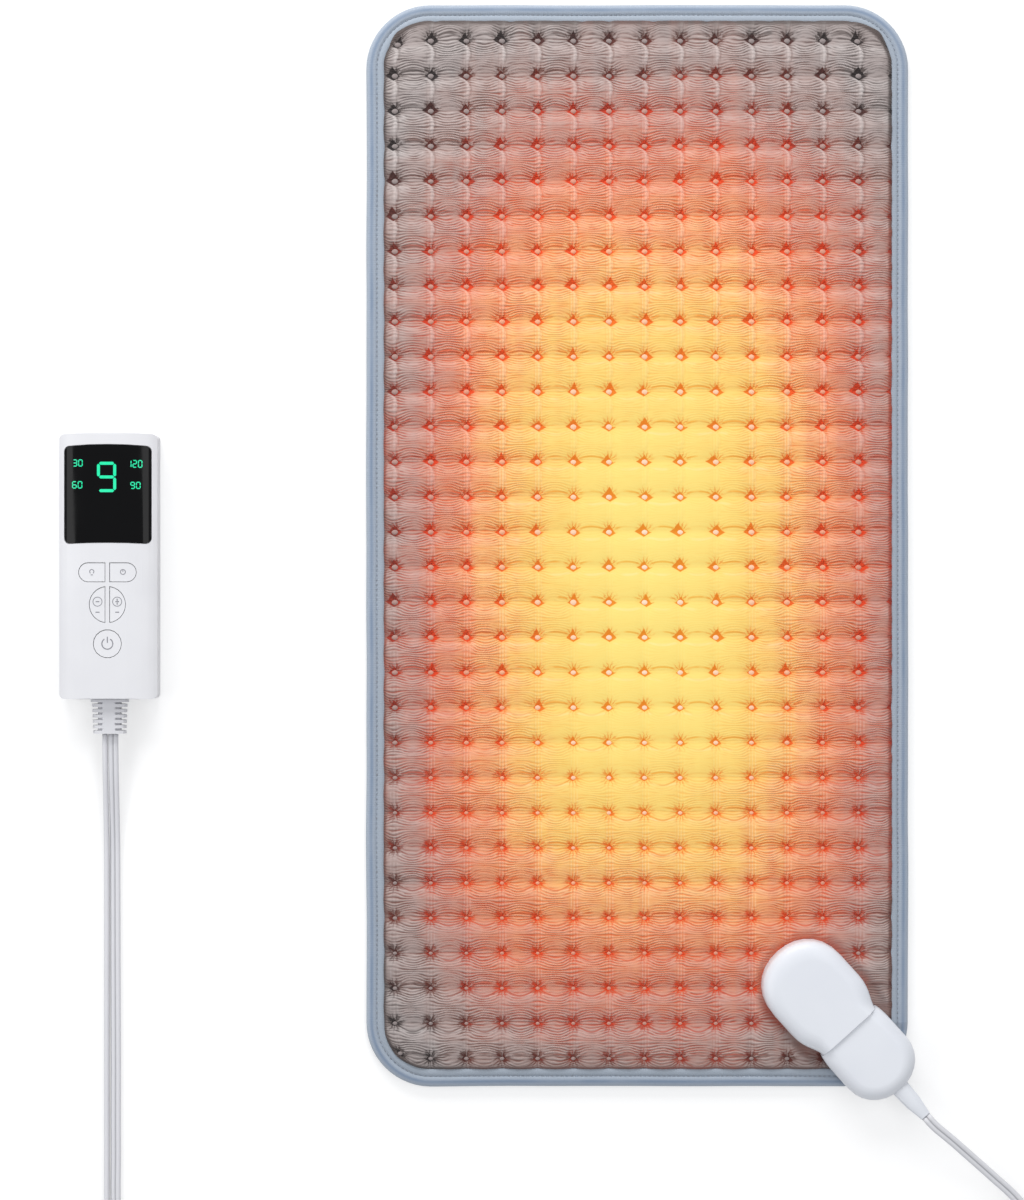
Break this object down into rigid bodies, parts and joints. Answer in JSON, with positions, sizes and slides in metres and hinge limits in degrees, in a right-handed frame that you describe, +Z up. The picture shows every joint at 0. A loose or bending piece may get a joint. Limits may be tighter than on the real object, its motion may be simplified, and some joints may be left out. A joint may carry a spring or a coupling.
{
  "type": "heating pad with controller",
  "caption": "Quilted electric heating pad with bound edge, plug-in connector, and a wired handset with display and keys that sets heat and time.",
  "frame": {"origin": "middle of the pad's underside, on the surface that the pad lies on", "axes": "+X across the pad towards the connector's side, +Y along the pad away from the connector's end, +Z up out of the quilted face"},
  "size_m": [0.6289, 0.7481, 0.0234],
  "materials": {
    "plush": "short plush, quilted",
    "back_plush": "short plush, plain",
    "binding_tape": "folded woven tape, sewn",
    "felt": "non-woven felt",
    "wire_jacket": "extruded soft jacket",
    "cutout_case": "moulded",
    "connector_shell": "moulded, satin",
    "connector_insulator": "moulded",
    "contact_brass": "plated",
    "screw_steel": "zinc plated",
    "handset_shell": "moulded, fine grain",
    "key_cap": "moulded, fine grain",
    "soft_relief": "moulded soft plastic",
    "lead_jacket": "extruded soft plastic",
    "display_lens": "polished, smoked",
    "display_light": "lit segments behind the lens",
    "board": "glass fibre laminate",
    "switch_case": "moulded",
    "component_case": "dipped",
    "fuse_glass": "clear tube",
    "tie_band": "moulded band"
  },
  "bodies": {
    "pad": {"edge_binding": "binding_tape", "back_cover": "back_plush", "top_cover": "plush", "heater_carrier": "felt", "wadding": "felt", "heating_wire": "wire_jacket", "thermal_cutout_1": "cutout_case", "thermal_cutout_2": "cutout_case", "socket_base": "connector_shell", "socket_cover": "connector_shell", "contact_block": "connector_insulator", "contact_pin_1": "contact_brass", "contact_pin_2": "contact_brass", "contact_pin_3": "contact_brass", "backing_plate": "connector_shell", "clamp_screw_1": "screw_steel", "clamp_screw_2": "screw_steel", "clamp_screw_3": "screw_steel", "clamp_screw_4": "screw_steel"},
    "controller": {"plug_upper_shell": "connector_shell", "plug_lower_shell": "connector_shell", "plug_nose": "connector_insulator", "contact_sleeve_1": "contact_brass", "contact_sleeve_2": "contact_brass", "contact_sleeve_3": "contact_brass", "plug_relief": "connector_shell", "front_shell": "handset_shell", "back_shell": "handset_shell", "case_screw_1": "screw_steel", "case_screw_2": "screw_steel", "case_screw_3": "screw_steel", "case_screw_4": "screw_steel", "display_lens": "display_lens", "display_module": "display_light", "circuit_board": "board", "heat_switch": "switch_case", "timer_switch": "switch_case", "down_switch": "switch_case", "up_switch": "switch_case", "power_switch": "switch_case", "mains_capacitor": "component_case", "triac": "switch_case", "mains_fuse": "fuse_glass", "handset_relief": "soft_relief", "pad_lead": "lead_jacket", "mains_lead": "lead_jacket", "mains_coil": "lead_jacket", "coil_tie": "tie_band", "mains_plug": "lead_jacket", "plug_blade_1": "contact_brass", "plug_blade_2": "contact_brass"},
    "heat_key": {"heat_key": "key_cap"},
    "timer_key": {"timer_key": "key_cap"},
    "down_key": {"down_key": "key_cap"},
    "up_key": {"up_key": "key_cap"},
    "power_key": {"power_key": "key_cap"}
  },
  "joints": [
    {"name": "plug_pull", "type": "slide", "parent": "pad", "child": "controller", "axis": [0.6704, -0.742, 0], "range_m": [0, 0.02]},
    {"name": "heat_press", "type": "slide", "parent": "controller", "child": "heat_key", "axis": [0, 0, -1], "range_m": [0, 0.0006], "stiffness_N_per_m": 800, "springref_m": -0.0004},
    {"name": "timer_press", "type": "slide", "parent": "controller", "child": "timer_key", "axis": [0, 0, -1], "range_m": [0, 0.0006], "stiffness_N_per_m": 800, "springref_m": -0.0004},
    {"name": "down_press", "type": "slide", "parent": "controller", "child": "down_key", "axis": [0, 0, -1], "range_m": [0, 0.0006], "stiffness_N_per_m": 800, "springref_m": -0.0004},
    {"name": "up_press", "type": "slide", "parent": "controller", "child": "up_key", "axis": [0, 0, -1], "range_m": [0, 0.0006], "stiffness_N_per_m": 800, "springref_m": -0.0004},
    {"name": "power_press", "type": "slide", "parent": "controller", "child": "power_key", "axis": [0, 0, -1], "range_m": [0, 0.0006], "stiffness_N_per_m": 800, "springref_m": -0.0004}
  ]
}
